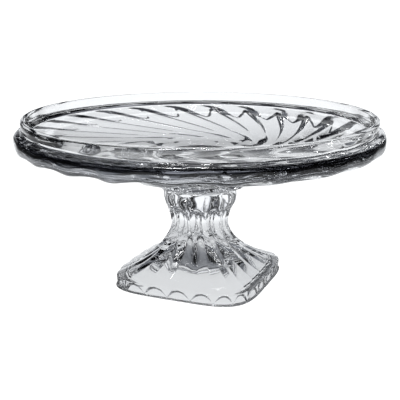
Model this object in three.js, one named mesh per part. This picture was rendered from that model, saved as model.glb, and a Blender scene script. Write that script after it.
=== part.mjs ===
// Footed cake plate in pressed crystal glass: a broad plate with an upright lip and a rolled
// flange, bonded on a hollow flared pedestal with a square foot. Millimetres, +Z up. The origin
// is the middle of the foot's underside, and the foot's sides lie along X and Y.
import * as THREE from 'three';
import * as BufferGeometryUtils from 'three/addons/utils/BufferGeometryUtils.js';

// ---- pedestal sizes ----
const pedestalHeight = 88;
const footHalfWidth = 68;       // axis to the middle of a bowed side
const footSquareness = 4.5;     // exponent of the foot's outline: 2 is a circle, more is squarer
const footEdgeHeight = 10.5;    // upright edge of the square foot
const footEdgeDraft = 0.5;      // how far the upright edge leans in at the table
const footShoulder = 3.5;       // step in from the edge's top to where the flare starts
const rimWidth = 9;             // flat glass ring that stands on the table
const neckRadius = 26.5;
const neckDrop = 31;            // narrowest line of the neck below the pedestal's top
const collarRadius = 33.5;
const collarDrop = 7;           // widest line of the collar below the pedestal's top
const collarTopRadius = 32.5;
const collarLobes = 12;
const collarLobeDepth = 1.2;
const crownThickness = 47;      // solid glass between the hollow and the pedestal's top

// ---- bond between the two pressings ----
const bondThickness = 0.3;
const bondInset = 1;            // the adhesive stops short of the collar's edge

// ---- plate sizes ----
const plateDiameter = 330;
const flangeReach = 6.5;        // flange's widest line beyond the lip's outside
const flangeRise = 49;          // flange's widest line above the boss's seat
const flangeDepth = 10;         // flange's lower edge below its widest line
const flangeRollIn = 10;        // flange's lower edge inside its widest line
const grooveRise = 8.5;         // groove between flange and lip above the widest line
const lipThickness = 4.6;
const lipRise = 13;             // lip's top above the floor's outer edge
const lipDraft = 3.4;           // how far the lip's inner wall leans out
const floorThickness = 27;      // glass between the middle of the floor and the boss's root
const floorDish = 16;           // floor's outer edge above its middle
const bossOverhang = 1;         // boss's seat beyond the collar's top
const bossFlare = 12.5;         // how much wider the boss is where it meets the plate
const bossHeight = 4.4;
const bossRoot = 6.3;           // height of the fillet between the boss and the underside
const waveCount = 18;
const waveDepth = 2.4;          // swirling relief of the underside
const waveTurn = 1.1;           // how far each wave turns from the flange to the boss, radians

// ---- smoothness ----
const plateSegments = 72;
const pedestalSegments = 72;
const filmSegments = 48;
const curveSteps = 5;

// ---- levels and radii that follow from the sizes ----
const neckHeight = pedestalHeight - neckDrop;
const collarHeight = pedestalHeight - collarDrop;
const cavityHeight = pedestalHeight - crownThickness;
const bossSeat = pedestalHeight + bondThickness;
const bossSeatRadius = collarTopRadius + bossOverhang;
const bossTopRadius = bossSeatRadius + bossFlare;
const rootHeight = bossSeat + bossHeight + bossRoot;
const floorMiddle = rootHeight + floorThickness;
const floorEdge = floorMiddle + floorDish;
const lipTop = floorEdge + lipRise;
const plateRadius = plateDiameter / 2;
const lipRadius = plateRadius - flangeReach;
const floorRadius = lipRadius - lipThickness - lipDraft;
const flangeHeight = bossSeat + flangeRise;

const glass = { color: '#dde3e6', roughness: 0.04, metalness: 0, transparent: true, opacity: 0.45 };

const smoothstep = (value) => {
  const t = Math.min(Math.max(value, 0), 1);
  return t * t * (3 - 2 * t);
};

// Turns a profile about Z, lets shapePoint move each point, and merges the seam and the poles.
function turned(profile, segments, shapePoint) {
  const geometry = new THREE.LatheGeometry(profile, segments);
  geometry.rotateX(Math.PI / 2);
  geometry.deleteAttribute('normal');
  geometry.deleteAttribute('uv');
  const position = geometry.getAttribute('position');
  const point = new THREE.Vector3();
  for (let i = 0; i < position.count; i += 1) {
    point.fromBufferAttribute(position, i);
    const angle = Math.atan2(point.y, point.x);
    const moved = shapePoint(Math.hypot(point.x, point.y), angle, point.z);
    position.setXYZ(i, moved.radius * Math.cos(angle), moved.radius * Math.sin(angle), moved.z);
  }
  return withoutSlivers(BufferGeometryUtils.mergeVertices(geometry, 1e-3));
}

// Drops the triangles that a pole closes to nothing.
function withoutSlivers(geometry) {
  const index = Array.from(geometry.index.array);
  const kept = [];
  for (let i = 0; i < index.length; i += 3) {
    const [a, b, c] = index.slice(i, i + 3);
    if (a !== b && b !== c && a !== c) kept.push(a, b, c);
  }
  geometry.setIndex(kept);
  return geometry;
}

function glassMesh(name, geometry) {
  const result = new THREE.Mesh(geometry, new THREE.MeshStandardMaterial(glass));
  result.name = name;
  return result;
}

// ---- pedestal: hollow inside, foot's edge, flare, neck, collar and flat top ----
function pedestalProfile() {
  const shoulderRadius = footHalfWidth - footShoulder;
  const shoulderHeight = footEdgeHeight + footShoulder / 2;
  const flareRadius = shoulderRadius - neckRadius;
  const flareHeight = neckHeight - shoulderHeight;
  const swellHeight = collarHeight - neckHeight;
  const path = new THREE.Path();
  path.moveTo(0, cavityHeight);
  path.bezierCurveTo(
    cavityHeight * 0.52, cavityHeight * 0.95,
    footHalfWidth * 0.57, footEdgeHeight * 1.25,
    footHalfWidth - rimWidth, 0,
  );
  path.lineTo(footHalfWidth - footEdgeDraft, 0);
  path.lineTo(footHalfWidth, footEdgeHeight);
  path.lineTo(shoulderRadius, shoulderHeight);
  path.bezierCurveTo(
    shoulderRadius - flareRadius * 0.47, shoulderHeight + flareHeight * 0.18,
    neckRadius, shoulderHeight + flareHeight * 0.57,
    neckRadius, neckHeight,
  );
  path.bezierCurveTo(
    neckRadius, neckHeight + swellHeight * 0.55,
    collarRadius, neckHeight + swellHeight * 0.6,
    collarRadius, collarHeight,
  );
  path.quadraticCurveTo(collarRadius, pedestalHeight, collarTopRadius, pedestalHeight);
  path.lineTo(0, pedestalHeight);
  return path.getPoints(curveSteps);
}

// The outline goes from round at the neck to square at the foot, and the collar is scalloped.
function pedestalPoint(radius, angle, z) {
  const squared = (Math.abs(Math.cos(angle)) ** footSquareness
    + Math.abs(Math.sin(angle)) ** footSquareness) ** (-1 / footSquareness);
  const square = 1 - smoothstep(z / neckHeight);
  const lobes = smoothstep((z - cavityHeight) / (collarHeight - cavityHeight));
  const scallop = collarLobeDepth * lobes * (Math.abs(Math.sin(collarLobes * angle / 2)) - 1);
  const onOutside = radius > neckRadius / 2;
  return { radius: radius * (1 + (squared - 1) * square) + (onOutside ? scallop : 0), z };
}

// ---- plate: boss, underside, rolled flange, groove, lip and dished floor ----
function plateProfile() {
  const span = plateRadius - bossTopRadius;
  const lipRound = lipThickness / 2;
  const path = new THREE.Path();
  path.moveTo(0, bossSeat);
  path.lineTo(bossSeatRadius, bossSeat);
  path.lineTo(bossTopRadius, bossSeat + bossHeight);
  path.lineTo(bossTopRadius + bossRoot / 2, rootHeight);
  path.bezierCurveTo(
    bossTopRadius + span * 0.35, rootHeight + flangeDepth * 0.8,
    plateRadius - flangeRollIn * 3, flangeHeight - flangeDepth * 1.6,
    plateRadius - flangeRollIn, flangeHeight - flangeDepth,
  );
  path.quadraticCurveTo(plateRadius, flangeHeight - flangeDepth * 0.6, plateRadius, flangeHeight);
  path.quadraticCurveTo(
    plateRadius, flangeHeight + grooveRise * 0.7,
    lipRadius, flangeHeight + grooveRise,
  );
  path.lineTo(lipRadius, lipTop - lipRound);
  path.absarc(lipRadius - lipRound, lipTop - lipRound, lipRound, 0, Math.PI, false);
  path.lineTo(floorRadius, floorEdge);
  path.quadraticCurveTo(floorRadius * 0.6, floorMiddle + floorDish * 0.25, 0, floorMiddle);
  return path.getPoints(curveSteps);
}

// The underside's relief turns as it runs inward, and fades out at the boss and the flange.
function platePoint(radius, angle, z) {
  const along = (radius - bossTopRadius) / (plateRadius - bossTopRadius);
  const floorAbove = floorMiddle + floorDish * (radius / floorRadius) ** 2;
  const onUnderside = along > 0 && z < floorAbove - floorThickness / 3;
  const fade = smoothstep(along * 5) * smoothstep((flangeHeight - z) / flangeDepth);
  const wave = 0.5 + 0.5 * Math.cos(waveCount * (angle + waveTurn * (1 - along)));
  return { radius, z: onUnderside ? z + waveDepth * fade * wave : z };
}

// ---- bond: a thin disc of clear adhesive, touching the collar's top and the boss's seat ----
function bondGeometry() {
  const radius = collarTopRadius - collarLobeDepth - bondInset;
  const film = new THREE.CylinderGeometry(radius, radius, bondThickness, filmSegments);
  film.rotateX(Math.PI / 2);
  film.translate(0, 0, pedestalHeight + bondThickness / 2);
  return film;
}

const cakeStand = new THREE.Group();
cakeStand.add(
  glassMesh('pedestal', turned(pedestalProfile(), pedestalSegments, pedestalPoint)),
  glassMesh('bond_film', bondGeometry()),
  glassMesh('plate', turned(plateProfile(), plateSegments, platePoint)),
);
export default cakeStand;
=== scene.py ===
import math

import bpy
import numpy as np
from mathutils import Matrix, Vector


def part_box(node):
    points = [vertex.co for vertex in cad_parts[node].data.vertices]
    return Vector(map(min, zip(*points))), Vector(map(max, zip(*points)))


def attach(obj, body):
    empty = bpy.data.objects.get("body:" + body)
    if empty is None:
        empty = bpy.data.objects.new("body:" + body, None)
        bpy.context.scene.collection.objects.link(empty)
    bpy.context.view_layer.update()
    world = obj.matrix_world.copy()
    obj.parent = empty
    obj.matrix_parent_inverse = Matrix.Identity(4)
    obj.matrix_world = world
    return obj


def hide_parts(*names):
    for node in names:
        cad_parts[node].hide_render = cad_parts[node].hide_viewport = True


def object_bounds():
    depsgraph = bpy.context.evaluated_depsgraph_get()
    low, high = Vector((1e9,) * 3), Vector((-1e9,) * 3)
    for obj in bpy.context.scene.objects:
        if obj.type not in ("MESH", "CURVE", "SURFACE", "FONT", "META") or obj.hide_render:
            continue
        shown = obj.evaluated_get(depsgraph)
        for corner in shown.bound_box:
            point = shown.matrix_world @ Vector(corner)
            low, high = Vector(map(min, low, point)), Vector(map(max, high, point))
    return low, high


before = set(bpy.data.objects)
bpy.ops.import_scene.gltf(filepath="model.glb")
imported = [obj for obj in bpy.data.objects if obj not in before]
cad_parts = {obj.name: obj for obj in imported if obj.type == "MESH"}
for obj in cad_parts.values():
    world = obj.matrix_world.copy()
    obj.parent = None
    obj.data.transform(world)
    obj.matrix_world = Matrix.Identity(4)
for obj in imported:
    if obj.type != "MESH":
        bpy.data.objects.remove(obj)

CAD_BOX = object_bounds()
MM = 0.001
FULL_TURN = 2 * math.pi
MERGE_DISTANCE = 0.002 * MM


def in_mm(box):
    return [[value / MM for value in corner] for corner in box]


plate_low, plate_high = in_mm(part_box("plate"))
pedestal_low, pedestal_high = in_mm(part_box("pedestal"))

# ---------------------------------------------------------------- sizes from the frame
PLATE_RADIUS = plate_high[0]
BOSS_SEAT = plate_low[2]
LIP_TOP = plate_high[2]
FOOT_HALF = pedestal_high[0]
PEDESTAL_TOP = pedestal_high[2]

# ---------------------------------------------------------------- plate sizes
WAVES = 24                       # waves around the plate
STEPS_PER_WAVE = 26
WAVE_START = math.radians(2.9)   # where one crease meets the outer end of the waves
BOSS_LOBES = 12
WIDEST = LIP_TOP - 20            # level of the flange's widest line
LIP_RADIUS = PLATE_RADIUS - 6.6
LIP_THICKNESS = 4.6
FLOOR_EDGE = LIP_TOP - 12.8
FLOOR_RADIUS = LIP_RADIUS - 8.4
FLOOR_DISH = 16                  # floor's outer edge above its middle
BOSS_SEAT_RADIUS = 33.5
BOSS_TOP_RADIUS = 46
BOSS_TOP = BOSS_SEAT + 4.2
UNDER_START = 50.5               # radius where the waved underside begins
UNDER_END = 152                  # and where it meets the flange
UNDER_SLOPE = 0.253
UNDER_STEPS = 68
FLOOR_STEPS = 20
UNDER_LEVEL = BOSS_SEAT - 1.3    # level that the underside's slope would reach on the axis
UNDER_ARCH = 0.6                 # how far the underside rises above that slope, halfway out
# painted shade: a charcoal band in the glass's colour, standing in for the dark edge of the thick
# flange
BAND_LOW = WIDEST + 0.6          # the flange is coloured charcoal between these two levels
BAND_HIGH = WIDEST + 7.0
BAND_REACH = 157.5               # and outside this radius

BOSS, UNDER, FLANGE, LIP, TOP = range(5)


def smoothstep(value):
    """0 below 0 and 1 above 1, easing from one to the other."""
    t = np.clip(value, 0.0, 1.0)
    return t * t * (3 - 2 * t)


def underside_level(radius):
    """Height of the plate's underside before it is carved."""
    along = (radius - UNDER_START) / (UNDER_END - UNDER_START)
    return UNDER_LEVEL + UNDER_SLOPE * radius + UNDER_ARCH * math.sin(math.pi * along)


def bezier(points, steps):
    """Points along a cubic curve, in so many steps, without its first one."""
    a, b, c, d = (np.array(point, float) for point in points)
    result = []
    for step in range(1, steps + 1):
        t = step / steps
        s = 1 - t
        result.append(tuple(s ** 3 * a + 3 * s * s * t * b + 3 * s * t * t * c + t ** 3 * d))
    return result


def straight(start, end, steps):
    """Points along a line, in so many steps, without its first one."""
    return [
        tuple(np.array(start) + (np.array(end) - np.array(start)) * step / steps)
        for step in range(1, steps + 1)
    ]


class Section:
    """An outline in the plane of radius and height, with the zone of each of its points."""

    def __init__(self, start):
        self.points = [start]
        self.zones = [0.0]

    def add(self, zone, points):
        for number, point in enumerate(points, start=1):
            self.points.append(point)
            self.zones.append(zone + 0.999 * number / len(points))
        return self


def plate_section():
    seat_edge = (BOSS_SEAT_RADIUS, BOSS_SEAT)
    boss_edge = (BOSS_TOP_RADIUS, BOSS_TOP)
    under_start = (UNDER_START, underside_level(UNDER_START))
    under_end = (UNDER_END, underside_level(UNDER_END))
    widest = (PLATE_RADIUS, WIDEST)
    groove = (LIP_RADIUS + 0.3, WIDEST + 8.4)
    lip_round = LIP_THICKNESS / 2
    lip_outer = (LIP_RADIUS, LIP_TOP - lip_round)
    wall_top = (LIP_RADIUS - LIP_THICKNESS, LIP_TOP - lip_round)
    floor_edge = (FLOOR_RADIUS, FLOOR_EDGE)
    wall_foot = (FLOOR_RADIUS + 0.5, FLOOR_EDGE + 1.2)
    section = Section((0.0, BOSS_SEAT))
    section.add(BOSS, straight((0.0, BOSS_SEAT), seat_edge, 3)
                + straight(seat_edge, boss_edge, 8)
                + bezier([boss_edge, (BOSS_TOP_RADIUS + 1.4, BOSS_TOP + 2.5),
                          (UNDER_START - 2.2, under_start[1] - 0.8), under_start], 6))
    radii = [UNDER_START + (UNDER_END - UNDER_START) * step / UNDER_STEPS
             for step in range(1, UNDER_STEPS + 1)]
    section.add(UNDER, [(radius, underside_level(radius)) for radius in radii])
    section.add(FLANGE, bezier([under_end, (UNDER_END + 8, under_end[1] + 2.3),
                                (PLATE_RADIUS, WIDEST - 6.5), widest], 12)
                + bezier([widest, (PLATE_RADIUS + 0.2, WIDEST + 8.6),
                          (LIP_RADIUS + 4.5, WIDEST + 7.8), groove], 10))
    section.add(LIP, bezier([groove, (LIP_RADIUS - 1.2, groove[1] + 1.6),
                             (LIP_RADIUS - 0.2, groove[1] + 3.4), lip_outer], 6))
    centre = (LIP_RADIUS - lip_round, LIP_TOP - lip_round)
    rounding = [(centre[0] + lip_round * math.cos(a), centre[1] + lip_round * math.sin(a))
                for a in (math.pi * k / 8 for k in range(1, 9))]
    section.add(TOP, rounding + straight(wall_top, wall_foot, 6)
                + bezier([wall_foot, (FLOOR_RADIUS + 0.2, FLOOR_EDGE),
                          floor_edge, (FLOOR_RADIUS - 1.2, FLOOR_EDGE - 0.2)], 4)
                + floor_points(FLOOR_STEPS))
    return section


def floor_points(steps):
    """From the floor's outer edge to the axis, closer together near the edge."""
    result = []
    for step in range(1, steps + 1):
        radius = (FLOOR_RADIUS - 1.2) * (1 - (step / steps) ** 1.3)
        result.append((radius, FLOOR_EDGE - FLOOR_DISH * (1 - (radius / FLOOR_RADIUS) ** 2)))
    return result


# ---------------------------------------------------------------- carving the plate
TURN_RATE = 108                  # the waves turn faster the nearer they come to the boss
STRAIGHT_AT = 147.6              # radius at which a wave has not turned yet
WAVES_EDGE = 128                 # where a wave's middle ends
CREASE_REACH = 20                # how much further out the crease beside it ends
WAVES_LIFT = 2.0                 # carved from the underside all over the waves
WAVE_DEPTH = 1.5
WAVE_CREST = 0.8                 # how far across a wave its crest is
GROOVE_DEPTH = 0.9               # groove in each crease, near the boss
GROOVE_GAIN = 2.6                # how much deeper it gets towards the flange
GROOVE_SHARPNESS = 8.0
SCALLOP_DEPTH = 3.6              # scallops outside the waves and on the flange's underside
SCALLOP_HANG = 0.9               # how far they hang below the plain underside
FACET_RISE = 4.0                 # facets round the boss, on the underside
FACET_CUT = 3.6                  # and on the boss's side
FACET_SHARPNESS = 1.6
FLANGE_SWELL = 0.6
LIP_SWELL = 0.4
FLANGE_TURN = 0.2                # how far the lobes turn, in radians, across the flange


def wave_turn(radius):
    """How far a wave has turned clockwise, seen from above, when it has run in to a radius."""
    reach = np.clip(radius, 58, 160)
    return TURN_RATE * (1 / reach - 1 / STRAIGHT_AT)


def crease(around, sharpness):
    """1 in the crease between two lobes and 0 along a lobe's middle."""
    return np.abs(2 * around - 1) ** sharpness


def breaking_wave(around, crest):
    """1 at a wave's foot, falling slowly to 0 at its crest, and rising steeply after it."""
    slow = np.clip(1 - around / crest, 0, 1)
    steep = np.clip((around - crest) / (1 - crest), 0, 1) ** 1.2
    return np.where(around < crest, slow, steep)


def carve_plate(radius, angle, height, zone):
    """Lifts the underside into waves and scallops, and turns the waves and lobes into a swirl."""
    around = ((angle - WAVE_START) * WAVES / FULL_TURN) % 1
    around_boss = ((angle - WAVE_START) * BOSS_LOBES / FULL_TURN) % 1
    under = (zone >= UNDER) & (zone < FLANGE)
    wave = breaking_wave(around, WAVE_CREST)
    lobe = 0.5 + 0.5 * np.cos(FULL_TURN * around)
    edge = WAVES_EDGE + CREASE_REACH * crease(around, 1.3)
    scallops = SCALLOP_DEPTH * lobe - SCALLOP_HANG
    inside = smoothstep((edge - radius) / 2.6)
    start = smoothstep((radius - 60) / 50)
    tip = smoothstep((radius - 100) / 35)
    groove = (GROOVE_DEPTH + GROOVE_GAIN * tip) * crease(around, GROOVE_SHARPNESS)
    carved = inside * start * (WAVES_LIFT + WAVE_DEPTH * wave + groove)
    carved += (1 - inside) * scallops * smoothstep((radius - 118) / 12)
    near_boss = smoothstep((radius - 49) / 6) * (1 - smoothstep((radius - 62) / 22))
    facet = crease(around_boss, FACET_SHARPNESS)
    carved += FACET_RISE * near_boss * facet
    flange = np.clip(zone - FLANGE, 0, 1) * (zone < LIP) * (zone >= FLANGE)
    swell = np.sin(math.pi * flange) ** 0.8
    lip = ((zone >= LIP) & (zone < TOP)) * np.sin(math.pi * np.clip(zone - LIP, 0, 1))
    on_flange = (zone >= FLANGE) & (zone < LIP)
    height = height + np.where(under, carved, 0)
    height = height + np.where(on_flange, scallops * (1 - smoothstep(flange * 2)), 0)
    boss = np.where(zone < UNDER, smoothstep((radius - BOSS_SEAT_RADIUS) / 12), 0)
    radius = radius - FLANGE_SWELL * swell * lobe - LIP_SWELL * lip * lobe - FACET_CUT * boss * facet
    turn = np.where(zone < UNDER, wave_turn(np.full_like(radius, UNDER_START)), wave_turn(radius))
    at_flange = wave_turn(np.full_like(radius, UNDER_END))
    turn = np.where(zone >= FLANGE, at_flange - FLANGE_TURN * flange, turn)
    turn = np.where(zone >= LIP, turn - FLANGE_TURN, turn)
    return radius, angle - turn, height


# ---------------------------------------------------------------- pedestal sizes
FLUTES = 12
PEDESTAL_STEPS = 576
FOOT_EDGE = 10.5
FOOT_SHOULDER = 3.5
RIM_WIDTH = 9
EDGE_LOBES = 6                   # scallops along each side of the foot
NECK_RADIUS = 27.3
NECK_LEVEL = PEDESTAL_TOP - 33
COLLAR_RADIUS = 33.9
COLLAR_LEVEL = PEDESTAL_TOP - 7
COLLAR_TOP_RADIUS = 32.5
CAVITY_TOP = 40
DOME_RADIUS = 9.5                # rounded top of the hollow
DOME_DEPTH = 8
WALL_LEVEL = 8.4                 # where the hollow's side turns down to the ring it stands on
SQUARENESS = 4.5                 # exponent of the foot's outline: 2 is a circle, more is squarer
FLUTE_TOP = PEDESTAL_TOP - 13    # crown of the arch that closes each flute under the collar
FLUTE_DEPTH = 4.4
FLUTE_FADE = 14                  # the flutes run out towards this level
FLUTE_TURN = 0.42                # how far a flute turns, in radians, from the collar to the table
ARCH_RISE = 9
COLLAR_CUT = 1.8
SCALLOP_LOW = 2.5                # level of the foot scallops' tops, at their sides
SCALLOP_RISE = 8.5               # and how much higher they are in the middle
SCALLOP_CUT = 1.6
SKIRT_CUT = 1.3

CAVITY, RIM, EDGE, FLARE, NECK, CROWN = range(6)


def pedestal_section():
    rim_inner = (FOOT_HALF - RIM_WIDTH, 0.0)
    rim_outer = (FOOT_HALF - 1.6, 0.0)
    edge_low = (FOOT_HALF - 0.5, 0.7)
    edge_high = (FOOT_HALF, FOOT_EDGE - 0.4)
    shoulder = (FOOT_HALF - FOOT_SHOULDER, FOOT_EDGE + 1.6)
    neck = (NECK_RADIUS, NECK_LEVEL)
    collar = (COLLAR_RADIUS, COLLAR_LEVEL)
    top_edge = (COLLAR_TOP_RADIUS, PEDESTAL_TOP)
    flare_width = shoulder[0] - NECK_RADIUS
    flare_height = NECK_LEVEL - shoulder[1]
    swell = COLLAR_LEVEL - NECK_LEVEL
    section = Section((0.0, CAVITY_TOP))
    dome_edge = (DOME_RADIUS, CAVITY_TOP - DOME_DEPTH)
    wall_top = (FOOT_HALF - RIM_WIDTH - 2.2, WALL_LEVEL)
    edge_round = (FOOT_HALF - 0.3, FOOT_EDGE + 0.1)
    section.add(CAVITY, bezier([(0.0, CAVITY_TOP), (DOME_RADIUS * 0.6, CAVITY_TOP),
                                (DOME_RADIUS * 0.85, CAVITY_TOP - 2.5), dome_edge], 12)
                + bezier([dome_edge, (DOME_RADIUS + 5, CAVITY_TOP - 17),
                          (FOOT_HALF * 0.65, FOOT_EDGE + 8), wall_top], 24)
                + bezier([wall_top, (wall_top[0] + 1.2, wall_top[1] - 1.2),
                          (rim_inner[0], wall_top[1] - 4), rim_inner], 6))
    section.add(RIM, straight(rim_inner, rim_outer, 3) + [edge_low])
    section.add(EDGE, straight(edge_low, edge_high, 14) + [edge_round]
                + straight(edge_round, shoulder, 5))
    section.add(FLARE, bezier([shoulder,
                               (shoulder[0] - flare_width * 0.47, shoulder[1] + flare_height * 0.18),
                               (NECK_RADIUS, shoulder[1] + flare_height * 0.57), neck], 50))
    section.add(NECK, bezier([neck, (NECK_RADIUS, NECK_LEVEL + swell * 0.55),
                              (COLLAR_RADIUS, NECK_LEVEL + swell * 0.6), collar], 26)
                + bezier([collar, (COLLAR_RADIUS, COLLAR_LEVEL + 3.5),
                          (COLLAR_TOP_RADIUS + 1.2, PEDESTAL_TOP - 0.6), top_edge], 10))
    section.add(CROWN, straight(top_edge, (0.0, PEDESTAL_TOP), 4))
    return section


def along_side(angle):
    """Where a direction meets its side of a square foot, in lobes from the side's middle."""
    from_middle = (angle + math.pi / 4) % (math.pi / 2) - math.pi / 4
    return np.tan(from_middle) * EDGE_LOBES / 2 + 0.2


def carve_pedestal(radius, angle, height, zone):
    """Makes the foot square, and cuts the flutes, the collar and the foot's facets."""
    squared = (np.abs(np.cos(angle)) ** SQUARENESS
               + np.abs(np.sin(angle)) ** SQUARENESS) ** (-1 / SQUARENESS)
    square = 1 - smoothstep(height / NECK_LEVEL)
    radius = radius * (1 + (squared - 1) * square)
    outside = (zone >= EDGE) & (zone < CROWN)
    flute_turn = FLUTE_TURN * (1 - smoothstep(height / COLLAR_LEVEL))
    around = ((angle - flute_turn) * FLUTES / FULL_TURN) % 1
    ridge = crease(around, 2.0)
    arch_top = FLUTE_TOP - ARCH_RISE * ridge
    below_arch = smoothstep((arch_top - height) / 4.5)
    scoop = FLUTE_DEPTH * (1 - ridge) * below_arch * smoothstep((height - FLUTE_FADE) / 30)
    below_top = 1 - smoothstep((height - PEDESTAL_TOP + 3) / 3)
    collar = smoothstep((height - FLUTE_TOP + ARCH_RISE) / 8) * below_top
    flute = scoop + COLLAR_CUT * collar * ridge
    edge_around = along_side(angle) % 1
    edge_ridge = crease(edge_around, 2.0)
    scallop_top = SCALLOP_LOW + SCALLOP_RISE * (1 - edge_ridge)
    scallop = SCALLOP_CUT * smoothstep((scallop_top - height) / 2.4) * smoothstep(height / 1.5)
    skirt = SKIRT_CUT * edge_ridge * (1 - smoothstep((height - FOOT_EDGE) / 34))
    radius = radius - np.where(outside, flute + scallop + skirt, 0)
    return radius, angle, height


# ---------------------------------------------------------------- mesh work
def deselect_everything():
    bpy.ops.object.select_all(action="DESELECT")


def spun_piece(name, section, steps, carve):
    """Draws the section by extruding one vertex, spins it round, and carves the relief."""
    deselect_everything()
    bpy.ops.mesh.primitive_plane_add(size=MM, location=(0, 0, 0))
    piece = bpy.context.object
    piece.name = name
    piece.data.name = name
    points = [np.array([radius, 0.0, height]) * MM for radius, height in section.points]
    bpy.ops.object.mode_set(mode="EDIT")
    bpy.ops.mesh.merge(type="CENTER")
    bpy.ops.transform.translate(value=tuple(points[0]))
    for before, after in zip(points, points[1:]):
        bpy.ops.mesh.extrude_region_move(TRANSFORM_OT_translate={"value": tuple(after - before)})
    bpy.ops.object.mode_set(mode="OBJECT")
    zones = piece.data.attributes.new("zone", "FLOAT", "POINT")
    zones.data.foreach_set("value", section.zones)
    bpy.ops.object.mode_set(mode="EDIT")
    bpy.ops.mesh.select_all(action="SELECT")
    bpy.ops.mesh.spin(steps=steps // 4, angle=FULL_TURN / 4, center=(0, 0, 0), axis=(0, 0, 1))
    bpy.ops.object.mode_set(mode="OBJECT")
    mirror = piece.modifiers.new("quarters", "MIRROR")
    mirror.use_axis = (True, True, False)
    mirror.merge_threshold = MERGE_DISTANCE
    bpy.ops.object.modifier_apply(modifier=mirror.name)
    bpy.ops.object.mode_set(mode="EDIT")
    bpy.ops.mesh.select_all(action="SELECT")
    bpy.ops.mesh.remove_doubles(threshold=MERGE_DISTANCE)
    bpy.ops.mesh.normals_make_consistent(inside=False)
    bpy.ops.object.mode_set(mode="OBJECT")
    reshape(piece, carve)
    return piece


def reshape(piece, carve):
    """Moves every point of a piece to where its carving puts it."""
    mesh = piece.data
    places = np.empty(len(mesh.vertices) * 3)
    mesh.vertices.foreach_get("co", places)
    places = places.reshape(-1, 3) / MM
    zone = np.empty(len(mesh.vertices))
    mesh.attributes["zone"].data.foreach_get("value", zone)
    radius = np.hypot(places[:, 0], places[:, 1])
    angle = np.arctan2(places[:, 1], places[:, 0])
    radius, angle, height = carve(radius, angle, places[:, 2], zone)
    moved = np.stack([radius * np.cos(angle), radius * np.sin(angle), height], axis=1) * MM
    mesh.vertices.foreach_set("co", moved.ravel())
    mesh.attributes.remove(mesh.attributes["zone"])
    mesh.update()


def shade(piece, sharpest):
    """Shades a piece smooth, apart from edges sharper than an angle in degrees."""
    deselect_everything()
    piece.select_set(True)
    bpy.context.view_layer.objects.active = piece
    bpy.ops.object.shade_smooth_by_angle(angle=math.radians(sharpest))


# ---------------------------------------------------------------- materials
WHITE = (1.0, 1.0, 1.0, 1.0)
# painted shade and painted light: the charcoal of the flange's band and the paler streaks in it
SHADE_CHARCOAL = (0.001, 0.001, 0.0015, 1.0)
LIGHT_STREAK_GREY = (0.16, 0.165, 0.19, 1.0)
CRYSTAL_TINT = (0.55, 0.565, 0.60, 1.0)
ADHESIVE_TINT = (0.9, 0.93, 0.95, 1.0)
CRYSTAL_IOR = 1.53
GROUND_ROUGHNESS = 0.4           # of the ring that stands on the table
SMOOTH_ANGLE = 50                # degrees: edges sharper than this stay sharp


class Value:
    """A node's output that can be added, multiplied and so on, like a number."""

    def __init__(self, paint, socket):
        self.paint = paint
        self.socket = socket

    def joined(self, operation, first, second):
        node = self.paint.node("ShaderNodeMath", {"operation": operation}, {0: first, 1: second})
        return Value(self.paint, node.outputs[0])

    def __add__(self, other):
        return self.joined("ADD", self, other)

    def __radd__(self, other):
        return self.joined("ADD", other, self)

    def __sub__(self, other):
        return self.joined("SUBTRACT", self, other)

    def __rsub__(self, other):
        return self.joined("SUBTRACT", other, self)

    def __mul__(self, other):
        return self.joined("MULTIPLY", self, other)

    def __rmul__(self, other):
        return self.joined("MULTIPLY", other, self)


class Paint:
    """The node tree of one material or of the world."""

    def __init__(self, tree):
        self.tree = tree
        tree.nodes.clear()

    def node(self, kind, settings=None, values=None):
        node = self.tree.nodes.new(kind)
        for name, setting in (settings or {}).items():
            setattr(node, name, setting)
        for name, value in (values or {}).items():
            self.feed(node.inputs[name], value)
        return node

    def feed(self, socket, value):
        if isinstance(value, Value):
            value = value.socket
        if isinstance(value, bpy.types.NodeSocket):
            self.tree.links.new(value, socket)
        else:
            socket.default_value = value

    def between(self, value, low, high):
        """0 below low and 1 above high, easing from one to the other."""
        node = self.node("ShaderNodeMapRange", {"interpolation_type": "SMOOTHSTEP"},
                         {"Value": value, "From Min": low, "From Max": high})
        return Value(self, node.outputs["Result"])

    def mixed(self, amount, first, second):
        """A colour from first to second."""
        node = self.node("ShaderNodeMix", {"data_type": "RGBA"}, {0: amount, 6: first, 7: second})
        return node.outputs[2]

    def noise(self, place, scale, detail):
        node = self.node("ShaderNodeTexNoise", {}, {"Vector": place, "Scale": scale, "Detail": detail})
        return Value(self, node.outputs["Fac"])


def painted_flange_shade(paint, place):
    """Painted shade: a charcoal band round the flange's edge, standing in for the dark edge the thick
    glass shows by refraction, with painted paler streaks of light along it, and white elsewhere.
    """
    parts = paint.node("ShaderNodeSeparateXYZ", {}, {"Vector": place})
    level = Value(paint, parts.outputs["Z"])
    flat = paint.node("ShaderNodeVectorMath", {"operation": "MULTIPLY"},
                      {0: place, 1: (1.0, 1.0, 0.0)})
    reach = Value(paint, paint.node("ShaderNodeVectorMath", {"operation": "LENGTH"},
                                    {0: flat.outputs["Vector"]}).outputs["Value"])
    low, high = BAND_LOW * MM, BAND_HIGH * MM
    below_high = 1 - paint.between(level, high - 0.8 * MM, high)
    band = (paint.between(level, low, low + 1.2 * MM) * below_high
            * paint.between(reach, BAND_REACH * MM, (BAND_REACH + 1) * MM))
    along = paint.node("ShaderNodeVectorMath", {"operation": "MULTIPLY"},
                       {0: place, 1: (16.0, 16.0, 900.0)}).outputs["Vector"]
    # painted light: paler streaks along the painted shade band
    light_streaks = paint.between(paint.noise(along, 1.0, 3.0), 0.48, 0.66)
    streaked_shade = paint.mixed(light_streaks, SHADE_CHARCOAL, LIGHT_STREAK_GREY)
    return paint.mixed(band, WHITE, streaked_shade)


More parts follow.
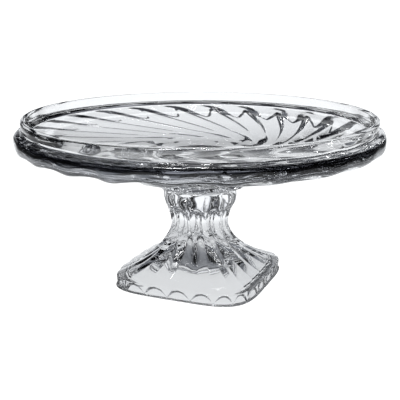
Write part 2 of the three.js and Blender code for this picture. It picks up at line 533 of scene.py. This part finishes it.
def crystal_glass(name, striae, polish, tint, rim_shaded):
    """Clear glass with a faint waviness, a cool tint with depth, a ground foot, and on request a
    painted shade band round the flange.
    """
    material = bpy.data.materials.new(name)
    material.use_nodes = True
    paint = Paint(material.node_tree)
    place = paint.node("ShaderNodeTexCoord").outputs["Object"]
    waviness = paint.noise(place, 55.0, 2.0) + 0.35 * paint.noise(place, 240.0, 1.0)
    bump = paint.node("ShaderNodeBump", {}, {"Strength": striae, "Distance": 0.0004,
                                             "Height": waviness})
    handling = paint.noise(place, 30.0, 3.0)
    level = Value(paint, paint.node("ShaderNodeSeparateXYZ", {}, {"Vector": place}).outputs["Z"])
    ground = 1 - paint.between(level, 0.1 * MM, 0.4 * MM)
    glass = paint.node("ShaderNodeBsdfPrincipled", {}, {
        # painted shade: the plate's colour carries a charcoal band round the flange
        "Base Color": painted_flange_shade(paint, place) if rim_shaded else WHITE,
        "Roughness": polish + 0.004 * handling + GROUND_ROUGHNESS * ground,
        "IOR": CRYSTAL_IOR,
        "Transmission Weight": 1.0,
        "Normal": bump.outputs["Normal"],
    })
    depth = paint.node("ShaderNodeVolumeAbsorption", {}, {"Color": tint, "Density": 3.0})
    out = paint.node("ShaderNodeOutputMaterial")
    paint.feed(out.inputs["Surface"], glass.outputs["BSDF"])
    paint.feed(out.inputs["Volume"], depth.outputs["Volume"])
    return material


def wear(piece, material):
    piece.data.materials.clear()
    piece.data.materials.append(material)


# ---------------------------------------------------------------- the pieces
# painted shade: this glass carries the charcoal band painted round the flange
crystal = crystal_glass("crystal", 0.06, 0.004, CRYSTAL_TINT, True)

plate = spun_piece("plate_glass", plate_section(), WAVES * STEPS_PER_WAVE, carve_plate)
shade(plate, SMOOTH_ANGLE)
wear(plate, crystal)
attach(plate, "root")
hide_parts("plate")

pedestal = spun_piece("pedestal_glass", pedestal_section(), PEDESTAL_STEPS, carve_pedestal)
shade(pedestal, SMOOTH_ANGLE)
wear(pedestal, crystal)
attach(pedestal, "root")
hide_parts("pedestal")

adhesive = crystal_glass("clear_adhesive", 0.0, 0.01, ADHESIVE_TINT, False)
wear(bpy.data.objects["bond_film"], adhesive)


# ---------------------------------------------------------------- light table, lights, camera
VIEW_TURN = math.radians(22.3)   # how far the camera stands round from the front
PANEL_WAY = (0.0, 0.98, 0.20)    # from the object to the lit panel
BACK_WAY = (-math.sin(VIEW_TURN), math.cos(VIEW_TURN), 0.0)
SIDE_WAY = (math.cos(VIEW_TURN), math.sin(VIEW_TURN), 0.0)
DARK_WALL = (0.02, 0.02, 0.025, 1.0)
DIM_PANEL = (0.16, 0.17, 0.19, 1.0)
COOL_WHITE = (0.96, 0.98, 1.0, 1.0)
BACKDROP_STRENGTH = 1.02
CAMERA_PITCH = math.radians(15.34)
CAMERA_DISTANCE = 0.6741         # from the upright axis, level
CAMERA_LEVEL = 0.2593
CAMERA_LENS = 67.73


def light_table():
    """A lit white table that the glass sees dimmer in the middle, a painted shadow under the object,
    and dark out to the sides.
    """
    deselect_everything()
    bpy.ops.mesh.primitive_circle_add(vertices=96, radius=6.0, fill_type="NGON",
                                      location=(0, 0, CAD_BOX[0][2] - 0.0004))
    table = bpy.context.object
    table.name = "table"
    material = bpy.data.materials.new("lit_table")
    material.use_nodes = True
    paint = Paint(material.node_tree)
    place = paint.node("ShaderNodeTexCoord").outputs["Object"]
    reach = Value(paint, paint.node("ShaderNodeVectorMath", {"operation": "LENGTH"},
                                    {0: place}).outputs["Value"])
    seen = Value(paint, paint.node("ShaderNodeLightPath").outputs["Is Camera Ray"])
    aside = Value(paint, paint.node("ShaderNodeVectorMath", {"operation": "DOT_PRODUCT"},
                                    {0: place, 1: SIDE_WAY}).outputs["Value"])
    sweep = 1 - 0.92 * paint.between(aside * aside, 0.16, 0.64)
    # painted shadow: the table glows dimmer near the middle, as if shaded by the glass standing on it
    lit = (0.68 + 0.26 * paint.between(reach, 0.05, 0.40)) * sweep
    colour = paint.mixed(seen, COOL_WHITE, WHITE)
    glow = paint.node("ShaderNodeEmission", {}, {
        "Color": colour, "Strength": lit + seen * (BACKDROP_STRENGTH - lit)})
    out = paint.node("ShaderNodeOutputMaterial")
    paint.feed(out.inputs["Surface"], glow.outputs["Emission"])
    wear(table, material)


def studio_room():
    """A white backdrop. What the glass sees is a dark room with a dim panel high behind the
    object, and a pale wall low behind it."""
    world = bpy.data.worlds.new("studio")
    bpy.context.scene.world = world
    world.use_nodes = True
    paint = Paint(world.node_tree)
    direction = paint.node("ShaderNodeTexCoord").outputs["Generated"]
    parts = paint.node("ShaderNodeSeparateXYZ", {}, {"Vector": direction})
    level = Value(paint, parts.outputs["Z"])
    ramp = paint.node("ShaderNodeValToRGB", {}, {"Fac": 0.5 + 0.5 * level})
    stops = [
        (0.0, (0.80, 0.82, 0.85)),
        (0.54, (0.70, 0.72, 0.75)),
        (0.60, (0.01, 0.01, 0.015)),
        (1.0, (0.02, 0.02, 0.025)),
    ]
    elements = ramp.color_ramp.elements
    while len(elements) < len(stops):
        elements.new(0.5)
    for element, (place, colour) in zip(elements, stops):
        element.position = place
        element.color = (*colour, 1.0)
    behind = paint.node("ShaderNodeVectorMath", {"operation": "DOT_PRODUCT"},
                        {0: direction, 1: PANEL_WAY})
    panel = paint.between(behind.outputs["Value"], 0.60, 0.70) * paint.between(level, 0.2, 0.3)
    ahead = paint.node("ShaderNodeVectorMath", {"operation": "DOT_PRODUCT"},
                       {0: direction, 1: BACK_WAY}).outputs["Value"]
    horizon = paint.mixed(paint.between(ahead, 0.78, 0.92), DARK_WALL, ramp.outputs["Color"])
    room = paint.mixed(panel, horizon, DIM_PANEL)
    seen = paint.node("ShaderNodeLightPath").outputs["Is Camera Ray"]
    colour = paint.mixed(seen, room, WHITE)
    back = paint.node("ShaderNodeBackground", {}, {"Color": colour, "Strength": BACKDROP_STRENGTH})
    out = paint.node("ShaderNodeOutputWorld")
    paint.feed(out.inputs["Surface"], back.outputs["Background"])


def softbox(name, azimuth, elevation, distance, width, height, power):
    """A rectangular light that faces the object, and that the camera doesn't see."""
    light = bpy.data.lights.new(name, "AREA")
    light.shape = "RECTANGLE"
    light.size = width
    light.size_y = height
    light.energy = power
    lamp = bpy.data.objects.new(name, light)
    bpy.context.collection.objects.link(lamp)
    turn, rise = math.radians(azimuth), math.radians(elevation)
    lamp.location = (distance * math.cos(rise) * math.sin(turn),
                     -distance * math.cos(rise) * math.cos(turn),
                     distance * math.sin(rise) + 0.1)
    lamp.rotation_euler = (math.pi / 2 - rise, 0, turn)
    lamp.visible_camera = False


def studio_camera():
    lens = bpy.data.cameras.new("camera")
    lens.lens = CAMERA_LENS
    lens.sensor_width = 36
    camera = bpy.data.objects.new("camera", lens)
    bpy.context.collection.objects.link(camera)
    camera.location = (CAMERA_DISTANCE * math.sin(VIEW_TURN),
                       -CAMERA_DISTANCE * math.cos(VIEW_TURN), CAMERA_LEVEL)
    camera.rotation_euler = (math.pi / 2 - CAMERA_PITCH, 0, VIEW_TURN)
    bpy.context.scene.camera = camera


light_table()
studio_room()
softbox("key_softbox", azimuth=-5, elevation=62, distance=1.6, width=0.12, height=0.8, power=5)
softbox("top_strip", azimuth=35, elevation=82, distance=1.5, width=0.08, height=0.7, power=5)
studio_camera()
bpy.context.scene.view_settings.view_transform = "Standard"
bpy.context.scene.view_settings.look = "Medium High Contrast"
